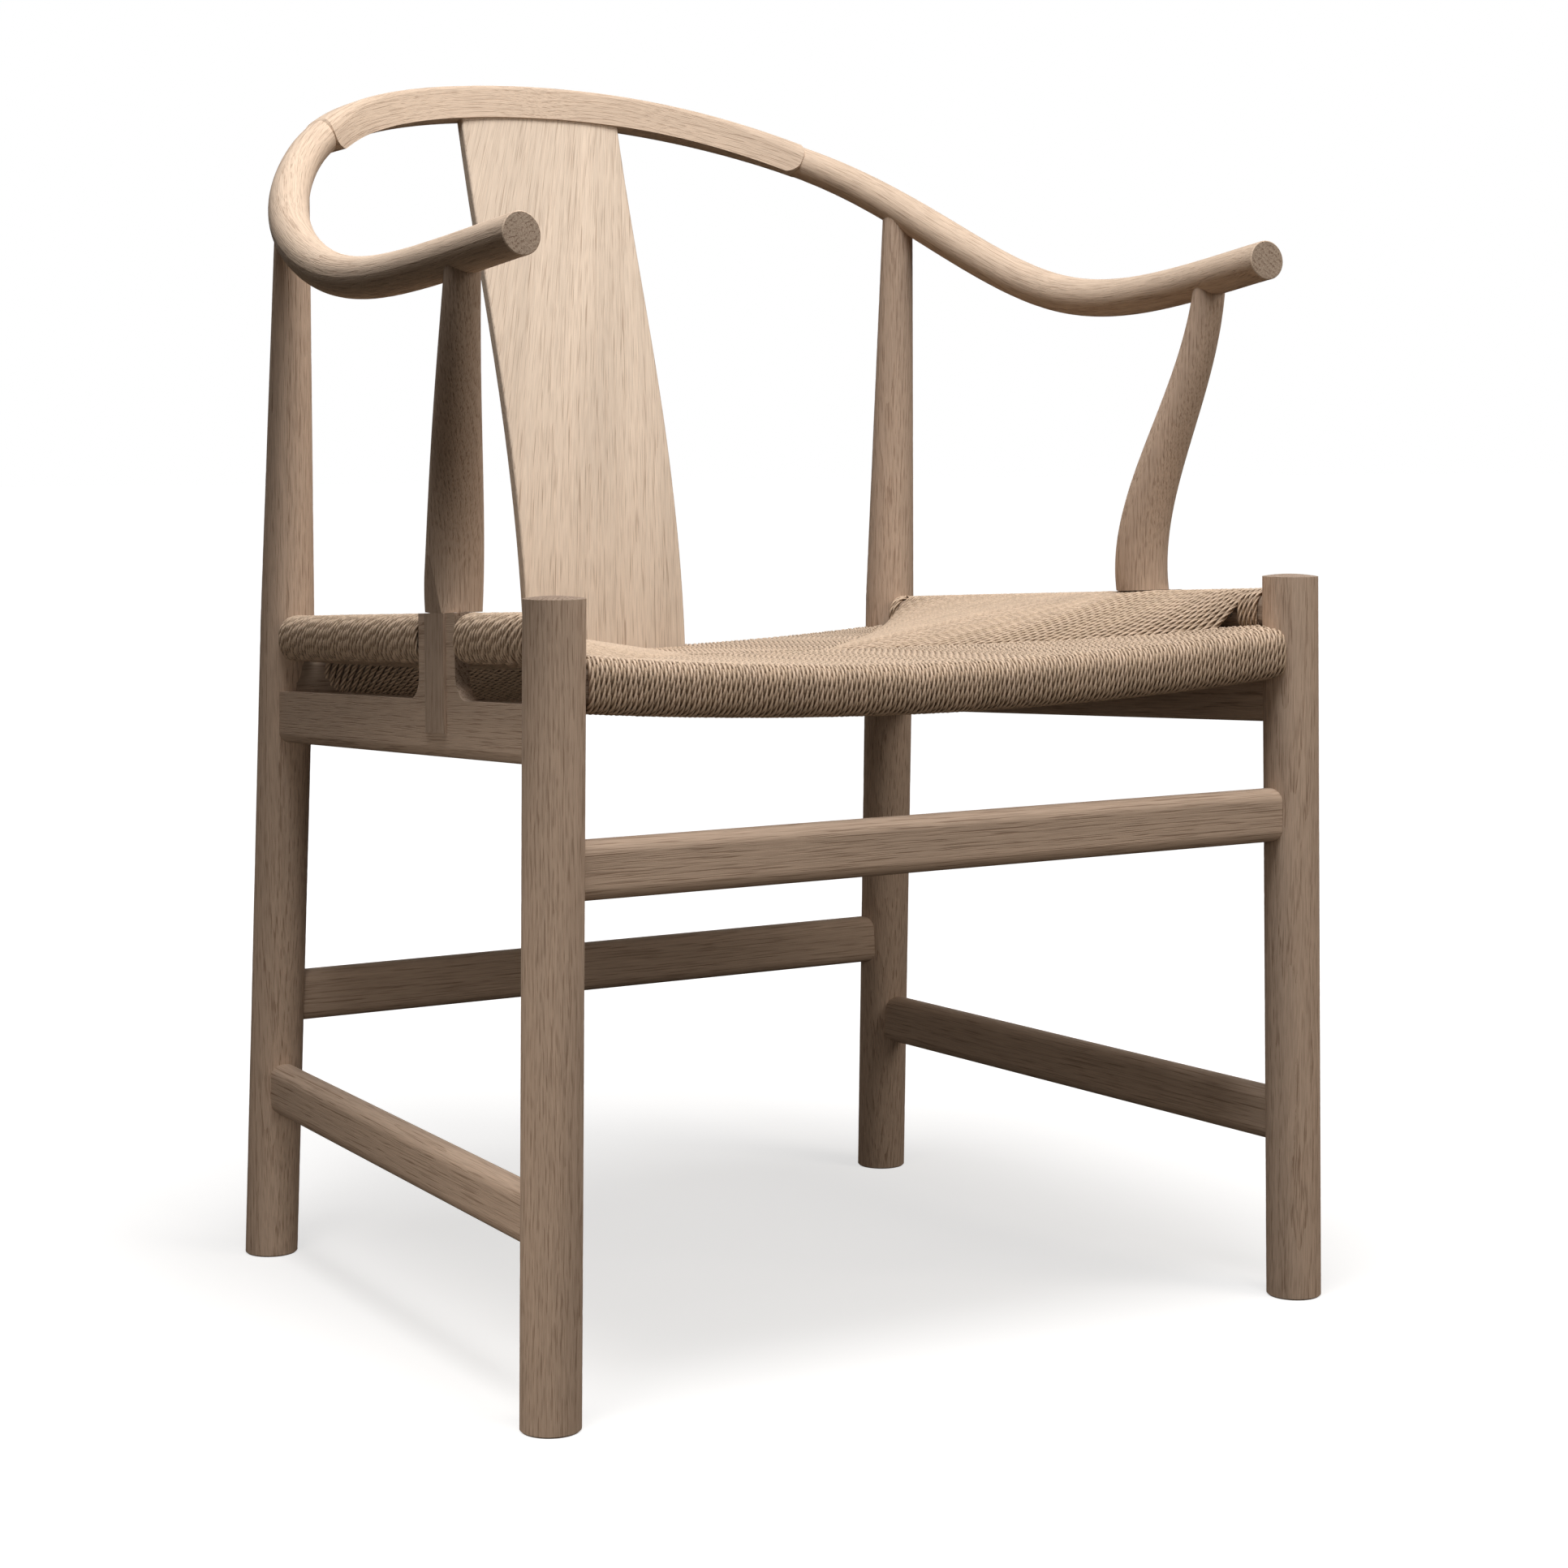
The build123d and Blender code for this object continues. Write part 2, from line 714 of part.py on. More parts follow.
wrap = 2 * rail_half_wrapped
side_middle = side_point(side_length / 2, seat_line(side_length / 2))
front_middle_top = front_rail_end_top - front_rail_dip + panel_edge
rear_middle_top = rear_rail_end_top - rear_rail_dip + panel_edge
right_rim = [
    panel_pair(
        0, front_rail_corner.Y, front_middle_top,
        front_middle_top - front_rail_middle_height - 2 * panel_edge,
    ),
    panel_pair(
        front_rail_corner.X, front_rail_corner.Y, front_rail_end_top + panel_corner_rise,
        front_rail_end_top - front_rail_end_height,
    ),
    panel_pair(
        side_middle.X, side_middle.Y, side_middle.Z - panel_edge,
        side_middle.Z - wrap + panel_edge,
    ),
    panel_pair(
        rear_rail_corner.X, rear_rail_corner.Y, rear_rail_end_top + panel_corner_rise,
        rear_rail_end_top - rear_rail_end_height,
    ),
    panel_pair(
        0, rear_rail_corner.Y, rear_middle_top,
        rear_middle_top - rear_rail_middle_height - 2 * panel_edge,
    ),
]
ridge = panel_pair(
    panel_ridge_half, panel_ridge_y, panel_middle_top, panel_middle_top - panel_middle_thickness
)
left_ridge = tuple(mirrored_x(point) for point in ridge)
rim = right_rim + [tuple(mirrored_x(p) for p in pair) for pair in reversed(right_rim[1:-1])]

panel_faces = []
for here, there in zip(rim, rim[1:] + rim[:1]):
    inner = ridge if (here[0] + there[0]).X > 0 else left_ridge
    for level in (0, 1):
        panel_faces.append(Face(Wire.make_polygon([here[level], there[level], inner[level]])))
    panel_faces.append(Face(Wire.make_polygon([here[0], there[0], there[1]])))
    panel_faces.append(Face(Wire.make_polygon([here[0], there[1], here[1]])))
for level in (0, 1):
    for middle in (right_rim[0], right_rim[-1]):
        corners = [middle[level], ridge[level], left_ridge[level]]
        panel_faces.append(Face(Wire.make_polygon(corners)))
panel = Solid(Shell(panel_faces))

with BuildPart() as side_wrap:
    add_bar(
        side_rail_front,
        side_rail_rear,
        side_rail_thickness + 2 * cord_diameter,
        side_rail_height + 2 * cord_diameter,
        side_rail_round + cord_diameter,
    )
    with BuildSketch(side_plane.offset(block_inside - joint_clearance)):
        seat_strip(
            block_front - joint_clearance, block_rear + joint_clearance, 2 * wrap, wrap
        )
    extrude(amount=apron_thickness, mode=Mode.SUBTRACT)

with BuildPart() as tack_space:
    add_tacks(joint_clearance)

with BuildPart() as front_wrap:
    add_dished_rail(front_rail_corner, *front_rail_sizes, cord_diameter)
    fillet(front_wrap.edges().filter_by(GeomType.CIRCLE), dished_rail_round + cord_diameter)

with BuildPart() as rear_wrap:
    add_dished_rail(rear_rail_corner, *rear_rail_sizes, cord_diameter)
    fillet(rear_wrap.edges().filter_by(GeomType.CIRCLE), dished_rail_round + cord_diameter)

with BuildPart() as woven_cord_seat:
    add(panel)
    add(front_wrap.part)
    add(rear_wrap.part)
    add(side_wrap.part)
    add(mirror(side_wrap.part, about=Plane.YZ))
    for solid in (side_rail_blank.part, side_apron.part, tack_space.part):
        add(solid, mode=Mode.SUBTRACT)
        add(mirror(solid, about=Plane.YZ), mode=Mode.SUBTRACT)
    add(front_rail_blank.part, mode=Mode.SUBTRACT)
    add(rear_rail_blank.part, mode=Mode.SUBTRACT)
    add(splat_space.part, mode=Mode.SUBTRACT)
    cut_round_legs()
save(woven_cord_seat.part, "woven_cord_seat")
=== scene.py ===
import math

import bpy
import numpy as np
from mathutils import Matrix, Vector


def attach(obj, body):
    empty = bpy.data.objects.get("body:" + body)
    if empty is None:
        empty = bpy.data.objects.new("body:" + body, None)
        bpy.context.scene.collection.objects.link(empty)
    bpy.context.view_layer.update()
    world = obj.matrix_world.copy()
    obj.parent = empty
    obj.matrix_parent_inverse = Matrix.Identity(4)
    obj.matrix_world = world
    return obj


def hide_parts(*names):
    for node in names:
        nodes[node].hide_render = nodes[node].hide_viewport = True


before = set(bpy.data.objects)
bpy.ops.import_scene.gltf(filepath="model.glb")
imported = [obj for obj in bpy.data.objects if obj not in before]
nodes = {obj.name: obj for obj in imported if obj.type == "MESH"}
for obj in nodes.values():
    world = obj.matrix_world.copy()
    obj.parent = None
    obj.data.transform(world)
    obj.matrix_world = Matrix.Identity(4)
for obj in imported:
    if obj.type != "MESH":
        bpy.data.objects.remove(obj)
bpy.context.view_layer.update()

# ---- legs ------------------------------------------------------------------------------------
# Four round legs turned from straight-grained oak, planed, sanded and rubbed with soap, so the
# wood stays pale and matt. The grain stands upright; the feet and front tops show end grain.
# The browner copy of the oak, for the legs, stretchers, aprons, seat rails and posts: its warmer hue is
# painted shade, and the splat and bent rail take paler lit copies.
oak_pale_shaded = (0.67, 0.508, 0.390, 1.0)
oak_early = (0.44, 0.295, 0.205, 1.0)
oak_pore = (0.20, 0.112, 0.066, 1.0)


def add_node(tree, kind, inputs=None, **settings):
    """A shader node with its settings, and its inputs joined or filled in."""
    node = tree.nodes.new("ShaderNode" + kind)
    for key, value in settings.items():
        setattr(node, key, value)
    for key, value in (inputs or {}).items():
        if isinstance(value, bpy.types.NodeSocket):
            tree.links.new(value, node.inputs[key])
        else:
            node.inputs[key].default_value = value
    return node


def calc(tree, operation, *values):
    node = add_node(tree, "Math", dict(enumerate(values)), operation=operation)
    return node.outputs[0]


def vector_calc(tree, operation, *values):
    node = add_node(tree, "VectorMath", dict(enumerate(values)), operation=operation)
    return node.outputs["Value" if operation == "LENGTH" else "Vector"]


def noise(tree, place, stretch, detail=2.0, roughness=0.55):
    """Soft noise, finer across the grain than along it: stretch is in waves to the metre."""
    scaled = vector_calc(tree, "MULTIPLY", place, stretch)
    inputs = {"Vector": scaled, "Scale": 1.0, "Detail": detail, "Roughness": roughness}
    return add_node(tree, "TexNoise", inputs)


def remap(tree, value, low, high, to_low=0.0, to_high=1.0):
    inputs = {"Value": value, "From Min": low, "From Max": high, "To Min": to_low, "To Max": to_high}
    return add_node(tree, "MapRange", inputs, clamp=True).outputs["Result"]


def blend_colour(tree, share, first, second):
    node = add_node(tree, "Mix", {"Factor": share}, data_type="RGBA")
    for socket, value in ((node.inputs[6], first), (node.inputs[7], second)):
        if isinstance(value, bpy.types.NodeSocket):
            tree.links.new(value, socket)
        else:
            socket.default_value = value
    return node.outputs[2]


def end_share(tree, facing):
    """How squarely a face cuts across the grain, from 0 along it to 1 on a sawn end."""
    upright = add_node(tree, "SeparateXYZ", {"Vector": facing}).outputs["Z"]
    return remap(tree, calc(tree, "ABSOLUTE", upright), 0.80, 0.95)


def turned_grain(turn):
    """Grain that runs straight through a piece, its direction given by a turn."""

    def place(tree):
        looks = add_node(tree, "TexCoord").outputs
        turned = [
            add_node(tree, "Mapping", {"Vector": looks[key], "Rotation": turn}).outputs["Vector"]
            for key in ("Object", "Normal")
        ]
        return turned[0], end_share(tree, turned[1])

    return place


def grain_towards(run):
    """Grain that runs straight through a piece in the direction given."""
    turn = Vector(run).rotation_difference(Vector((0.0, 0.0, 1.0))).to_euler()
    return turned_grain(turn)


upright_grain = turned_grain((0.0, 0.0, 0.0))


def soaped_oak(name, grain, heart, tone=1.0, ring=0.0026, years_show=0.26, pores_show=0.52,
               pore_shape=(1550.0, 62.0), pore_from=0.49, pale=oak_pale_shaded):
    """Oak whose year rings lie round a heart line beside the piece, in metres off its grain."""
    material = bpy.data.materials.new(name)
    material.use_nodes = True
    tree = material.node_tree
    shader = tree.nodes["Principled BSDF"]
    place, end = grain(tree)

    # Year rings round the heart, wavering slowly along the grain.
    waver = noise(tree, place, (9.0, 9.0, 2.6), detail=2.0).outputs["Color"]
    waver = vector_calc(tree, "SUBTRACT", waver, (0.5, 0.5, 0.5))
    waver = vector_calc(tree, "MULTIPLY", waver, (0.018, 0.018, 0.0))
    across = vector_calc(tree, "ADD", place, waver)
    across = vector_calc(tree, "SUBTRACT", across, (*heart, 0.0))
    distance = vector_calc(tree, "LENGTH", vector_calc(tree, "MULTIPLY", across, (1.0, 1.0, 0.0)))
    uneven = noise(tree, place, (130.0, 130.0, 3.0), detail=1.0).outputs["Fac"]
    uneven = calc(tree, "MULTIPLY", uneven, 1.8)
    years = calc(tree, "ADD", calc(tree, "DIVIDE", distance, ring), uneven)
    year = calc(tree, "FRACT", years)
    early = calc(tree, "POWER", calc(tree, "SUBTRACT", 1.0, year), 2.0)

    # Long open pores crowd the early wood of each ring; finer fibre runs everywhere.
    fine, long = pore_shape
    pore = noise(tree, place, (fine, fine, long), detail=1.0).outputs["Fac"]
    pore = remap(tree, pore, pore_from, pore_from + 0.13)
    crowd = remap(tree, early, 0.0, 0.7, 0.35, 1.0)
    pore = calc(tree, "MULTIPLY", pore, crowd)
    # On a sawn end the same pores show as dark dots, in rows along the rings.
    dots = noise(tree, place, (760.0, 760.0, 20.0), detail=1.0).outputs["Fac"]
    dots = calc(tree, "MULTIPLY", remap(tree, dots, 0.50, 0.60), crowd)
    dots = calc(tree, "MULTIPLY", dots, end)
    pore = calc(tree, "MAXIMUM", pore, dots)
    fibre = noise(tree, place, (2300.0, 2300.0, 60.0), detail=2.0).outputs["Fac"]
    broad = noise(tree, place, (26.0, 26.0, 2.4), detail=3.0).outputs["Fac"]

    # Colour: pale late wood, browner early wood, dark pores, slow changes of tone.
    share = calc(tree, "MULTIPLY", early, years_show)
    colour = blend_colour(tree, share, pale, oak_early)
    share = calc(tree, "MULTIPLY_ADD", dots, 0.3, calc(tree, "MULTIPLY", pore, pores_show))
    colour = blend_colour(tree, share, colour, oak_pore)
    level = calc(tree, "MULTIPLY", remap(tree, broad, 0.3, 0.7, 0.88, 1.08), tone)
    level = calc(tree, "MULTIPLY", level, remap(tree, fibre, 0.25, 0.75, 0.84, 1.09))
    level = calc(tree, "MULTIPLY", level, remap(tree, end, 0.0, 1.0, 1.0, 0.62))
    colour = vector_calc(tree, "SCALE", colour)
    tree.links.new(level, colour.node.inputs["Scale"])
    tree.links.new(colour, shader.inputs["Base Color"])

    # Matt, a little smoother between the pores; the pores and early wood lie lower.
    rough = remap(tree, fibre, 0.2, 0.8, 0.56, 0.70)
    tree.links.new(rough, shader.inputs["Roughness"])
    shader.inputs["Specular IOR Level"].default_value = 0.10
    height = calc(tree, "MULTIPLY_ADD", pore, -1.0, calc(tree, "MULTIPLY", fibre, 0.35))
    height = calc(tree, "MULTIPLY_ADD", early, -0.25, height)
    bump = add_node(tree, "Bump", {"Height": height, "Strength": 0.35, "Distance": 0.0004})
    tree.links.new(bump.outputs["Normal"], shader.inputs["Normal"])
    return material


def finish_node(name, material):
    """Gives a carried-over piece its finish."""
    piece = nodes[name]
    piece.data.materials.clear()
    piece.data.materials.append(None)
    piece.material_slots[0].link = "OBJECT"
    piece.material_slots[0].material = material


# Each leg is its own board: its name, where the heart of its tree lay, and its tone.
leg_oak = (
    ("front_leg_left", (0.31, -0.21), 0.94),
    # The right front leg's lower tone, 0.84, is painted shade, for the shade it stands in.
    ("front_leg_right", (-0.23, -0.31), 0.84),
    ("rear_leg_left", (0.20, 0.13), 0.92),
    ("rear_leg_right", (-0.29, 0.12), 0.92),
)
for name, heart, tone in leg_oak:
    finish_node(name, soaped_oak("oak_" + name, upright_grain, heart, tone))

# ---- stretchers ------------------------------------------------------------------------------
# Four oak bars, tenoned into the legs, with softly rounded edges. Their grain runs from leg to
# leg: level across the front and back, and along the sides.
grain_across = turned_grain((0.0, math.radians(90), 0.0))
side_runs = (("left", (-22.6, 421.6, 0.0)), ("right", (22.6, 421.6, 0.0)))
along_side = {label: grain_towards(run) for label, run in side_runs}
stretcher_oak = (
    ("front_stretcher", grain_across, (-0.36, -0.235), 0.86),
    ("rear_stretcher", grain_across, (-0.12, 0.20), 0.84),
    ("side_stretcher_left", along_side["left"], (0.30, -0.16), 0.86),
    ("side_stretcher_right", along_side["right"], (-0.21, -0.05), 0.92),
)
for name, grain, heart, tone in stretcher_oak:
    oak = soaped_oak("oak_" + name, grain, heart, tone, pore_shape=(1350.0, 30.0), pore_from=0.51)
    finish_node(name, oak)

# ---- side aprons -----------------------------------------------------------------------------
# Each side has an apron cut from one board, with a raised block that takes the arm post. Its
# grain runs along the side, so the block's flanks show short end grain.
apron_oak = (
    ("side_apron_left", (-22.6, 421.6, -22.0), (0.32, -0.36)),
    ("side_apron_right", (22.6, 421.6, -22.0), (-0.22, -0.43)),
)
for name, run, heart in apron_oak:
    oak = soaped_oak("oak_" + name, grain_towards(run), heart, 0.84, pore_shape=(1400.0, 34.0))
    finish_node(name, oak)

# ---- seat rails ------------------------------------------------------------------------------
# Four oak rails under the cord, seen only inside the corners and from below, left plain.
rail_oak = (
    ("front_seat_rail", grain_across, (-0.47, -0.22)),
    ("rear_seat_rail", grain_across, (-0.44, 0.22)),
    ("side_seat_rail_left", along_side["left"], (0.31, -0.40)),
    ("side_seat_rail_right", along_side["right"], (-0.31, -0.40)),
)
for name, grain, heart in rail_oak:
    # The rails' low tone, 0.6, is painted shade, for the shade under the seat.
    finish_node(name, soaped_oak("oak_" + name, grain, heart, 0.6))

# ---- cord tacks ------------------------------------------------------------------------------
# Small steel tacks in the inner faces of the side rails, which hold the ends of the cord. Their
# heads are plain and slightly brushed.
tack_steel = bpy.data.materials.new("tack_steel")
tack_steel.use_nodes = True
tree = tack_steel.node_tree
steel = tree.nodes["Principled BSDF"]
steel.inputs["Metallic"].default_value = 1.0
spot = add_node(tree, "TexCoord").outputs["Object"]
brushed = noise(tree, spot, (900.0, 900.0, 9000.0), detail=2.0).outputs["Fac"]
tree.links.new(
    blend_colour(tree, brushed, (0.42, 0.42, 0.43, 1.0), (0.60, 0.60, 0.61, 1.0)),
    steel.inputs["Base Color"],
)
tree.links.new(remap(tree, brushed, 0.2, 0.8, 0.28, 0.45), steel.inputs["Roughness"])
finish_node("cord_tacks", tack_steel)

# ---- woven cord seat -------------------------------------------------------------------------
# Nearly five hundred turns of three-ply paper cord, some 150 metres. Each comes up through the
# weave, goes round a rail and returns below, diving under its neighbours along seams from the
# corners. Sizes are in millimetres and turned into metres at the end.
cord = 3.2
pitch = 3.36
side_pitch = 3.85
ply_turn = 20.0
cord_step = 1.8
under_step = 5.0
lobe_radii = (1.04, 1.04, 0.46)
lobe_turns = (-24.0, 24.0, 60.0)
tail = 12.0
half = cord / 2
seam_corner_front = (252.0, -248.0)
seam_corner_rear = (228.0, 150.0)
ridge_end = (50.0, -47.0)
seam_heights_front = ((0.0, 432.0), (22.0, 429.5), (45.0, 425.0), (100.0, 419.0), (202.0, 411.5))
seam_heights_rear = ((0.0, 413.0), (60.0, 410.5), (178.0, 411.5))
panel_thickness = 9.0
rng = np.random.default_rng(7)


def seam_of_lengthwise(x, sense):
    """Where a front or rear turn at x dives under: how far back it is, and how high."""
    corner = seam_corner_front if sense < 0 else seam_corner_rear
    heights = seam_heights_front if sense < 0 else seam_heights_rear
    gone = min(max(corner[0] - abs(x), 0.0), corner[0] - ridge_end[0])
    share = gone / (corner[0] - ridge_end[0])
    y = corner[1] + (ridge_end[1] - corner[1]) * share
    return y, float(np.interp(gone, *zip(*heights)))


def seam_of_crosswise(y):
    """Where a side turn at y dives under: how far out it is, and how high."""
    front = y < ridge_end[1]
    corner = seam_corner_front if front else seam_corner_rear
    heights = seam_heights_front if front else seam_heights_rear
    share = min(max((y - corner[1]) / (ridge_end[1] - corner[1]), 0.0), 1.0)
    gone = (corner[0] - ridge_end[0]) * share
    return corner[0] - gone, float(np.interp(gone, *zip(*heights)))


def bend(centre, radius, start, end, count=5):
    """Points of an arc, given as (out, up) from a rail's own section."""
    angles = np.radians(np.linspace(start, end, count))
    return [(centre[0] + radius * math.cos(a), centre[1] + radius * math.sin(a)) for a in angles]


def round_rail(inner, outer, top, bottom, radius, outer_radius):
    """The way of a cord's middle over, outside and under a rail, as (out, up)."""
    way = [(inner, top)]
    way += bend((outer - outer_radius, top - outer_radius), outer_radius, 90, 0)
    way += bend((outer - outer_radius, bottom + outer_radius), outer_radius, 0, -90)
    way += [(inner, bottom)]
    return way


def spaced(points, steps):
    """The same way in even steps: fine ones first, coarse ones after the share given."""
    points = np.array(points, float)
    runs = np.concatenate([[0.0], np.cumsum(np.linalg.norm(np.diff(points, axis=0), axis=1))])
    fine_to, fine, coarse = steps
    marks = np.concatenate([
        np.arange(0.0, runs[fine_to], fine),
        np.arange(runs[fine_to], runs[-1], coarse),
        [runs[-1]],
    ])
    way = np.stack([np.interp(marks, runs, points[:, k]) for k in range(3)], axis=1)
    for _ in range(2):
        way[1:-1] = (way[:-2] + 2 * way[1:-1] + way[2:]) / 4
    return way, marks


class CordWork:
    """Collects turns of cord into one mesh. Its widths say how flat a turn lies, off and on a rail."""

    def __init__(self, name, free_width, rail_width):
        self.name = name
        self.widths = (free_width, rail_width)
        self.spots = []
        self.faces = []
        self.groove_and_painted_shade = []
        self.shade = []
        self.count = 0

    def lay(self, points, square_to, rail_from, fine_to):
        """Lays one turn: three plies twisted along the points, pressed wider on the rail."""
        way, marks = spaced(points, (fine_to, cord_step, under_step))
        runs = np.linalg.norm(np.diff(np.array(points, float), axis=0), axis=1)
        start = float(runs[:rail_from].sum())
        width = np.interp(marks, (start - 9.0, start + 2.0), self.widths)
        # Painted shade on the flanks of each turn, where it lies beside its neighbours: stronger in the
        # free span than on the rail.
        painted_flank_weight = np.interp(marks, (start - 9.0, start + 2.0), (0.8, 0.3))
        ahead = np.gradient(way, axis=0)
        ahead /= np.linalg.norm(ahead, axis=1)[:, None]
        normal = np.cross(np.array(square_to, float), ahead)
        normal /= np.linalg.norm(normal, axis=1)[:, None]
        side = np.cross(ahead, normal)
        corners = len(lobe_turns) * 3
        base = np.radians([third * 120.0 + t for third in range(3) for t in lobe_turns])
        radii = np.array(lobe_radii * 3) * half * rng.uniform(0.97, 1.03)
        twist = 2 * math.pi * marks / ply_turn + rng.uniform(0, 2 * math.pi)
        angle = base[None, :] + twist[:, None]
        ring = (
            way[:, None, :]
            + (radii * np.cos(angle))[:, :, None] * normal[:, None, :]
            + (radii * np.sin(angle) * width[:, None])[:, :, None] * side[:, None, :]
        )
        rows = len(way)
        grid = self.count + np.arange(rows * corners).reshape(rows, corners)
        beside = np.roll(grid, -1, axis=1)
        quads = np.stack([grid[:-1], beside[:-1], beside[1:], grid[1:]], axis=-1).reshape(-1, 4)
        self.spots.append(ring.reshape(-1, 3))
        self.faces.append(quads)
        # The valleys of the twist and the flanks of each turn are marked for painted shade; the valley
        # marks also set the bump.
        valley = np.tile(np.array((0.0, 0.0, 1.0) * 3), (rows, 1))
        painted_flank_shade = np.abs(np.sin(angle)) ** 4 * painted_flank_weight[:, None]
        self.groove_and_painted_shade.append(np.maximum(valley, painted_flank_shade).ravel())
        self.shade.append(np.full(rows * corners, rng.uniform(0, 1)))
        self.count += rows * corners

    def finish(self, material):
        """Makes the piece, riding on the chair and standing for the plain seat."""
        spots = np.concatenate(self.spots) * 0.001
        faces = np.concatenate(self.faces)
        mesh = bpy.data.meshes.new(self.name)
        mesh.vertices.add(len(spots))
        mesh.vertices.foreach_set("co", spots.astype(np.float32).ravel())
        mesh.loops.add(faces.size)
        mesh.loops.foreach_set("vertex_index", faces.astype(np.int32).ravel())
        mesh.polygons.add(len(faces))
        mesh.polygons.foreach_set("loop_start", np.arange(0, faces.size, 4, dtype=np.int32))
        mesh.update(calc_edges=True)
        mesh.polygons.foreach_set("use_smooth", np.ones(len(faces), dtype=bool))
        for name, values in (("groove_and_painted_shade", self.groove_and_painted_shade), ("shade", self.shade)):
            layer = mesh.attributes.new(name, "FLOAT", "POINT")
            layer.data.foreach_set("value", np.concatenate(values).astype(np.float32))
        mesh.materials.append(material)
        mesh.validate()
        piece = bpy.data.objects.new(self.name, mesh)
        bpy.context.scene.collection.objects.link(piece)
        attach(piece, "root")
        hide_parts("woven_cord_seat")


def natural_paper_cord():
    """Twisted unbleached paper: warm tan, faintly waxed, with painted shade in the grooves of its twist
    and on the flanks of each turn.
    """
    material = bpy.data.materials.new("natural_paper_cord")
    material.use_nodes = True
    tree = material.node_tree
    shader = tree.nodes["Principled BSDF"]
    groove_and_painted_shade = add_node(tree, "Attribute", attribute_name="groove_and_painted_shade").outputs["Fac"]
    shade = add_node(tree, "Attribute", attribute_name="shade").outputs["Fac"]
    spot = add_node(tree, "TexCoord").outputs["Object"]
    crumple = noise(tree, spot, (700.0, 700.0, 700.0), detail=3.0, roughness=0.65).outputs["Fac"]
    patch = noise(tree, spot, (60.0, 60.0, 60.0), detail=2.0).outputs["Fac"]
    tan = blend_colour(tree, shade, (0.78, 0.60, 0.455, 1.0), (0.68, 0.52, 0.38, 1.0))
    # A dark brown painted into the grooves and flanks as shade.
    painted_shade_brown = blend_colour(tree, patch, (0.14, 0.088, 0.05, 1.0), (0.20, 0.13, 0.08, 1.0))
    painted_shade_share = calc(tree, "POWER", groove_and_painted_shade, 0.95)
    colour = blend_colour(tree, painted_shade_share, tan, painted_shade_brown)
    level = calc(tree, "MULTIPLY", remap(tree, crumple, 0.25, 0.75, 0.86, 1.08),
                 remap(tree, patch, 0.3, 0.7, 0.93, 1.05))
    colour = vector_calc(tree, "SCALE", colour)
    tree.links.new(level, colour.node.inputs["Scale"])
    tree.links.new(colour, shader.inputs["Base Color"])
    tree.links.new(remap(tree, crumple, 0.2, 0.8, 0.42, 0.62), shader.inputs["Roughness"])
    shader.inputs["Specular IOR Level"].default_value = 0.16
    height = calc(tree, "MULTIPLY_ADD", groove_and_painted_shade, -0.8, crumple)
    bump = add_node(tree, "Bump", {"Height": height, "Strength": 0.5, "Distance": 0.0004})
    tree.links.new(bump.outputs["Normal"], shader.inputs["Normal"])
    return material


paper_cord = natural_paper_cord()


def dished(end, dip, half_length, x):
    """The height at x of a rail edge that dips from its ends to its middle."""
    return end - dip + dip * (x / half_length) ** 2


def lay_lengthwise(work, sense, x, rail):
    """One front (sense -1) or rear (sense 1) turn at x."""
    seam_y, seam_z = seam_of_lengthwise(x, sense)
    middle, inner, outer, outer_radius = rail["way"](x)
    top = rail["top"](x) + half
    bottom = rail["bottom"](x) - half
    section = round_rail(inner, outer, top, bottom, half, outer_radius)
    low_z = seam_z - panel_thickness
    x += rng.uniform(-0.12, 0.12)
    points = [(x, seam_y - sense * tail, seam_z - cord), (x, seam_y - sense * 4, seam_z - cord),
              (x, seam_y + sense * 3, seam_z)]
    # Each turn moves on as it goes round the rail, so it comes back half a pitch further along.
    drift = np.linspace(0.0, pitch / 2, len(section))
    points += [(x + move, middle + sense * out, up) for move, (out, up) in zip(drift, section)]
    fine_to = len(points) - 1
    x += pitch / 2
    points += [(x, seam_y + sense * 3, low_z), (x, seam_y - sense * 4, low_z + cord),
               (x, seam_y - sense * tail, low_z + cord)]
    work.lay(points, (1.0, 0.0, 0.0), 3, fine_to)


front_rail = {
    "top": lambda x: dished(430.8, 14.5, 262.4, x),
    "bottom": lambda x: dished(403.8, 11.5, 262.4, x),
    "way": lambda x: (-260.0, -2.0, 11.6, 9.6),
}
splat_half = 64.0


def rear_way(x):
    """Beside the splat the cord goes round the whole rail, in front of it through a slot."""
    if abs(x) < splat_half:
        return 161.2, -11.4, -6.2, 2.6
    return 161.2, -6.5, 16.1, 9.6


rear_rail = {
    "top": lambda x: dished(409.8, 10.0, 239.8, x),
    "bottom": lambda x: dished(376.8, 9.0, 239.8, x),
    "way": rear_way,
}
lengthwise_widths = (1.08, 1.07)
lengthwise_work = (("front", -1, front_rail, 246.0), ("rear", 1, rear_rail, 220.0))
for label, sense, rail, end in lengthwise_work:
    work = CordWork(f"cord_turns_{label}", *lengthwise_widths)
    count = int(2 * end / pitch)
    for x in np.linspace(-end, end, count + 1):
        lay_lengthwise(work, sense, x, rail)
    work.finish(paper_cord)

side_front = np.array((261.63, -259.57))
side_rear = np.array((239.01, 162.03))
seat_line_ends = (456.7, 433.4)
side_length = float(np.linalg.norm(side_rear - side_front))
side_ahead = (side_rear - side_front) / side_length
side_outward = np.array((-side_ahead[1], side_ahead[0])) * -1
block_ends = (113.0, 169.0)
leg_clear = 19.3
corner_loops = 4
first_crossing = 37.0


def side_spot(along, out, up):
    place = side_front + side_ahead * along + side_outward * out
    return (float(place[0]), float(place[1]), up)


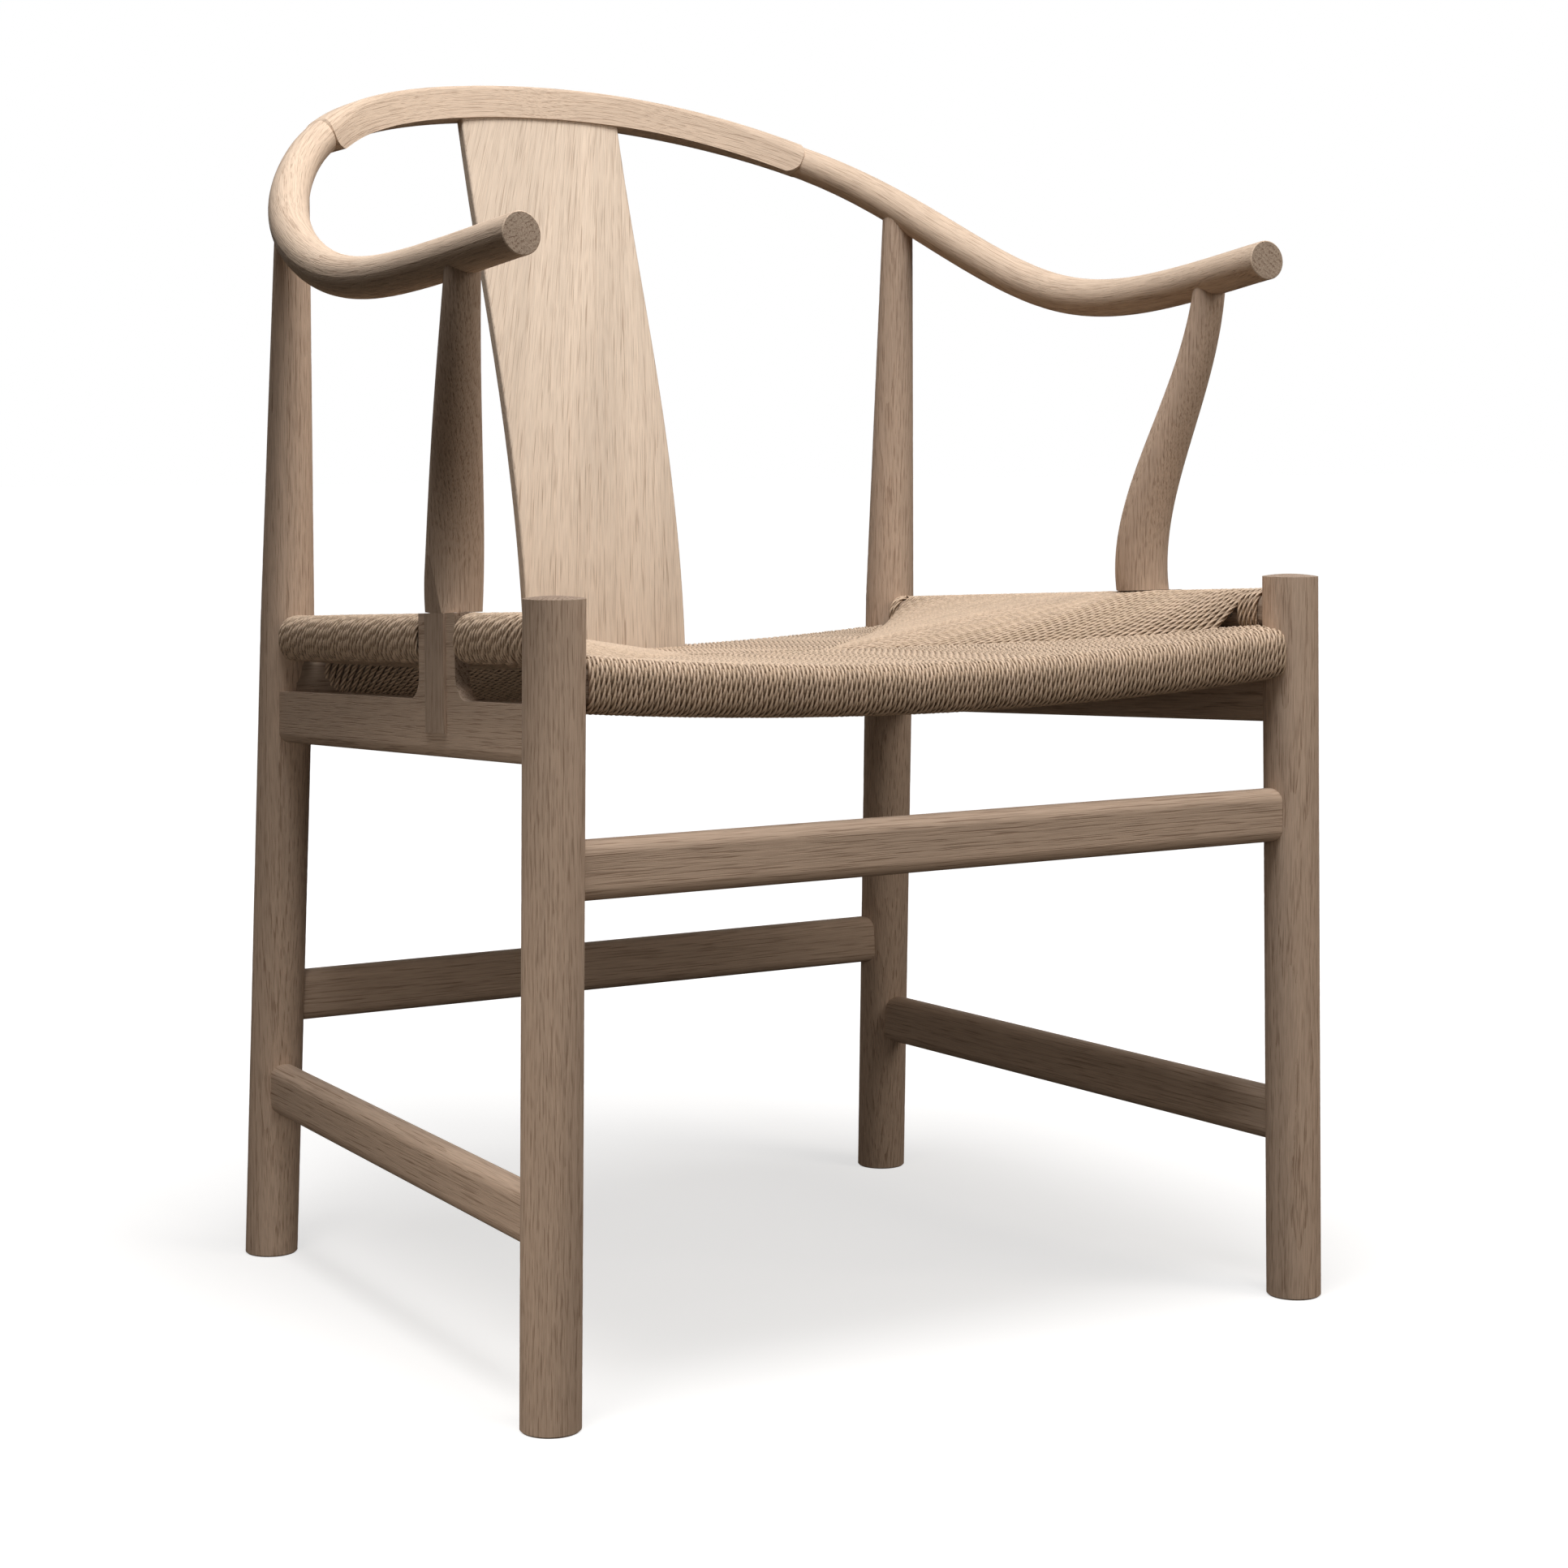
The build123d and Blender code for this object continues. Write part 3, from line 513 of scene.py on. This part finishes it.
def side_section(along):
    """The cord's way round the side rail; behind the apron's block it slips between the two."""
    seat = float(np.interp(along, (0.0, side_length), seat_line_ends))
    top, bottom = seat - half, seat - 2 * 15.2 + half
    inner = -1.0 - 13.0 * math.exp(-(((along - 141.0) / 24.0) ** 2))
    if block_ends[0] < along < block_ends[1]:
        return round_rail(inner, 0.3, top, bottom, half, 1.3), top, bottom
    return round_rail(inner, 11.6, top, bottom, half, 10.6), top, bottom


def lay_crosswise(work, mirror, along):
    """One turn round a side rail."""
    section, top, bottom = side_section(along)
    _, seam_y, _ = side_spot(along, -4.0, top)
    seam_x, seam_z = seam_of_crosswise(seam_y)
    low_z = seam_z - panel_thickness
    points = [(seam_x - tail, seam_y, seam_z - cord), (seam_x - 4, seam_y, seam_z - cord),
              (seam_x + 3, seam_y, seam_z)]
    drift = np.linspace(0.0, side_pitch / 2, len(section))
    points += [side_spot(along + move, out, up) for move, (out, up) in zip(drift, section)]
    fine_to = len(points) - 1
    seam_y += side_pitch / 2
    points += [(seam_x + 3, seam_y, low_z), (seam_x - 4, seam_y, low_z + cord),
               (seam_x - tail, seam_y, low_z + cord)]
    points = np.array(points) * (mirror, 1.0, 1.0)
    work.lay(points, (side_ahead[0] * mirror, side_ahead[1], 0.0), 3, fine_to)


def lay_loop(work, mirror, along):
    """One turn that only goes round the side rail, next to a leg."""
    section, top, bottom = side_section(along)
    section = section[:-1] + bend((-1.0, bottom + 10.6), 10.6, 270, 180)
    section += bend((-1.0, top - 10.6), 10.6, 180, 90)
    shift = np.linspace(-0.3, 0.3, len(section)) * side_pitch
    points = [side_spot(along + s, out, up) for s, (out, up) in zip(shift, section)]
    points = np.array(points) * (mirror, 1.0, 1.0)
    work.lay(points, (side_ahead[0] * mirror, side_ahead[1], 0.0), 0, len(points) - 1)


crosswise_widths = (1.15, 1.17)
for label, mirror in (("left", 1.0), ("right", -1.0)):
    work = CordWork(f"cord_turns_{label}", *crosswise_widths)
    last_crossing = side_length - leg_clear - 2 * side_pitch
    count = int((last_crossing - first_crossing) / side_pitch)
    for along in np.linspace(first_crossing, last_crossing, count + 1):
        lay_crosswise(work, mirror, along)
    for along in np.linspace(leg_clear, first_crossing, corner_loops, endpoint=False):
        lay_loop(work, mirror, along)
    for turn in range(2):
        lay_loop(work, mirror, side_length - leg_clear + 1.0 - turn * side_pitch)
    work.finish(paper_cord)

# ---- arm posts -------------------------------------------------------------------------------
# Two curved oak posts from the seat to the arms, round above and flat outside below, where a
# tongue is let into the apron's block.
post_oak = (
    ("arm_post_left", (0.16, -0.08), 0.92),
    # The right post's lower tone, 0.72, is painted shade, for the shade under the bent rail.
    ("arm_post_right", (-0.36, -0.05), 0.72),
)
for name, heart, tone in post_oak:
    finish_node(name, soaped_oak("oak_" + name, upright_grain, heart, tone))

# ---- splat -----------------------------------------------------------------------------------
# A wide board of pale oak, bent to a gentle curve. Sparse long thin streaks run up its face, so
# its grain is measured off the board's own front face.
board_front = ((0.385, 0.157), (0.475, 0.1665), (0.579, 0.1915), (0.682, 0.2255), (0.782, 0.256))


def float_curve(tree, share, line, reach=1.0):
    """A smooth curve through measured points."""
    curve = add_node(tree, "FloatCurve", {"Value": share})
    points = curve.mapping.curves[0].points
    while len(points) < len(line):
        points.new(0.5, 0.5)
    for point, (position, value) in zip(points, line):
        point.location = (position / reach, value)
    curve.mapping.update()
    return curve.outputs["Value"]


def up_the_board(tree):
    looks = add_node(tree, "TexCoord").outputs
    parts = add_node(tree, "SeparateXYZ", {"Vector": looks["Object"]}).outputs
    front = float_curve(tree, parts["Z"], board_front)
    # The streaks stand upright at the foot and lean more towards the top and the -X edge.
    above = calc(tree, "POWER", calc(tree, "SUBTRACT", parts["Z"], board_front[0][0]), 2.0)
    lean = calc(tree, "MULTIPLY_ADD", parts["X"], -3.8, 0.58)
    across = calc(tree, "SUBTRACT", parts["X"], calc(tree, "MULTIPLY", lean, above))
    inputs = {"X": across, "Y": calc(tree, "SUBTRACT", parts["Y"], front), "Z": parts["Z"]}
    return add_node(tree, "CombineXYZ", inputs).outputs["Vector"], end_share(tree, looks["Normal"])


# The splat's paler, less brown colour is a lit copy of the same oak, painted light.
board_pale_lit = (0.67, 0.550, 0.440, 1.0)
board_oak = soaped_oak("oak_back_splat", up_the_board, (0.34, 0.75), tone=1.10, ring=0.0034,
                       years_show=0.12, pores_show=0.50, pore_shape=(1300.0, 34.0),
                       pore_from=0.535, pale=board_pale_lit)
finish_node("back_splat", board_oak)

# ---- bent rail -------------------------------------------------------------------------------
# One oak rail steam-bent to a horseshoe, so its grain follows the bend from arm end to arm end.
bend_reach = 2.4
bend_radii = ((0, 0.267), (28.3, 0.2828), (50, 0.2793), (69.3, 0.2779), (89.2, 0.274),
              (114.9, 0.2998), (131, 0.3498), (137.5, 0.372))
bend_heights = ((0, 0.7846), (28.3, 0.7707), (50, 0.7341), (69.3, 0.684), (89.2, 0.650),
                (114.9, 0.649), (131, 0.662), (137.5, 0.669))


def along_bend(tree):
    """Grain that follows the bend: off it in plan, off it in height, and along it."""
    spot = add_node(tree, "TexCoord").outputs["Object"]
    parts = add_node(tree, "SeparateXYZ", {"Vector": spot}).outputs
    turn = calc(tree, "ARCTAN2", parts["X"], parts["Y"])
    share = calc(tree, "DIVIDE", calc(tree, "ABSOLUTE", turn), bend_reach)
    reach = vector_calc(tree, "LENGTH", vector_calc(tree, "MULTIPLY", spot, (1.0, 1.0, 0.0)))
    offsets = []
    for line, measured in ((bend_radii, reach), (bend_heights, parts["Z"])):
        line = [(math.radians(degrees), value) for degrees, value in line]
        curve = float_curve(tree, share, line, bend_reach)
        offsets.append(calc(tree, "SUBTRACT", measured, curve))
    along = calc(tree, "MULTIPLY", turn, 0.27)
    inputs = {"X": offsets[0], "Y": offsets[1], "Z": along}
    # Only the two arm ends, at the front, are sawn across.
    facing = add_node(tree, "TexCoord").outputs["Normal"]
    ahead = add_node(tree, "SeparateXYZ", {"Vector": facing}).outputs["Y"]
    squarely = remap(tree, ahead, -0.80, -0.95)
    sawn = calc(tree, "MULTIPLY", squarely, remap(tree, parts["Y"], -0.222, -0.226))
    return add_node(tree, "CombineXYZ", inputs).outputs["Vector"], sawn


# The bent rail's paler colour is a lit copy of the same oak, painted light.
bent_pale_lit = (0.67, 0.525, 0.405, 1.0)
bent_oak = soaped_oak("oak_arm_rail", along_bend, (0.05, 0.09), ring=0.0030, years_show=0.2,
                      pores_show=0.40, pale=bent_pale_lit)
finish_node("arm_rail", bent_oak)

# ---- room ------------------------------------------------------------------------------------
# A pale floor, one broad soft lamp high over the chair, weak ones ahead and beside it, and faint
# warm light all round.
room_white = (1.0, 1.0, 1.0, 1.0)
floor_size = 60.0
floor_mesh = bpy.data.meshes.new("floor")
reach = floor_size / 2
corners = [(-reach, -reach, 0), (reach, -reach, 0), (reach, reach, 0), (-reach, reach, 0)]
floor_mesh.from_pydata(corners, [], [(0, 1, 2, 3)])
floor = bpy.data.objects.new("floor", floor_mesh)
bpy.context.scene.collection.objects.link(floor)

floor_finish = bpy.data.materials.new("floor_paper")
floor_finish.use_nodes = True
tree = floor_finish.node_tree
tree.nodes.clear()
spot = add_node(tree, "TexCoord").outputs["Object"]
reach = vector_calc(tree, "LENGTH", spot)
glow_level = remap(tree, reach, 0.35, 1.1, 0.66, 1.0)
glow = add_node(tree, "Emission", {"Color": room_white, "Strength": glow_level})
shaded = add_node(tree, "BsdfDiffuse", {"Color": (0.46, 0.46, 0.46, 1.0)})
seen = add_node(tree, "AddShader", {0: glow.outputs[0], 1: shaded.outputs[0]})
bounce = add_node(tree, "BsdfDiffuse", {"Color": (0.095, 0.083, 0.070, 1.0)})
path = add_node(tree, "LightPath").outputs
mixed = add_node(tree, "MixShader", {0: path["Is Camera Ray"], 1: bounce.outputs[0], 2: seen.outputs[0]})
add_node(tree, "OutputMaterial", {"Surface": mixed.outputs[0]})
floor_mesh.materials.append(floor_finish)

world = bpy.data.worlds.new("studio")
world.use_nodes = True
bpy.context.scene.world = world
tree = world.node_tree
tree.nodes.clear()
path = add_node(tree, "LightPath").outputs
sight = calc(tree, "MAXIMUM", path["Is Camera Ray"], path["Is Glossy Ray"])
sight = calc(tree, "MAXIMUM", sight, path["Is Transmission Ray"])
faint = add_node(tree, "Background", {"Color": (1.0, 0.78, 0.60, 1.0), "Strength": 0.070})
seen = add_node(tree, "Background", {"Color": room_white, "Strength": 1.0})
sky = add_node(tree, "MixShader", {0: sight, 1: faint.outputs[0], 2: seen.outputs[0]})
add_node(tree, "OutputWorld", {"Surface": sky.outputs[0]})

# Each lamp's name, width, watts, colour, place and the spot that it is turned to.
lamps = (
    ("lamp_above", 1.1, 44.0, (1.0, 1.0, 1.0), (-0.22, -0.48, 2.25), (0.0, 0.05, 0.5)),
    ("lamp_ahead", 0.9, 10.6, (1.0, 0.93, 0.85), (0.95, -1.55, 1.15), (0.0, -0.15, 0.30)),
    ("lamp_beside", 0.5, 2.7, (1.0, 0.94, 0.87), (-0.82, -0.46, 0.41), (-0.66, -0.40, -0.42)),
)
for name, size, energy, tint, place, target in lamps:
    lamp_data = bpy.data.lights.new(name, "AREA")
    lamp_data.shape = "SQUARE"
    lamp_data.size = size
    lamp_data.energy = energy
    lamp_data.color = tint
    lamp = bpy.data.objects.new(name, lamp_data)
    lamp.location = place
    lamp.rotation_euler = (Vector(target) - Vector(place)).to_track_quat("-Z", "Y").to_euler()
    bpy.context.scene.collection.objects.link(lamp)

camera_data = bpy.data.cameras.new("camera")
camera_data.sensor_width = 36.0
camera_data.lens = 73.76
camera = bpy.data.objects.new("camera", camera_data)
camera.location = (-1.0786, -1.8157, 0.5537)
camera.rotation_euler = (math.radians(90.0 - 6.248), 0.0, math.radians(-31.789))
bpy.context.scene.collection.objects.link(camera)
bpy.context.scene.camera = camera
bpy.context.scene.view_settings.view_transform = "Standard"
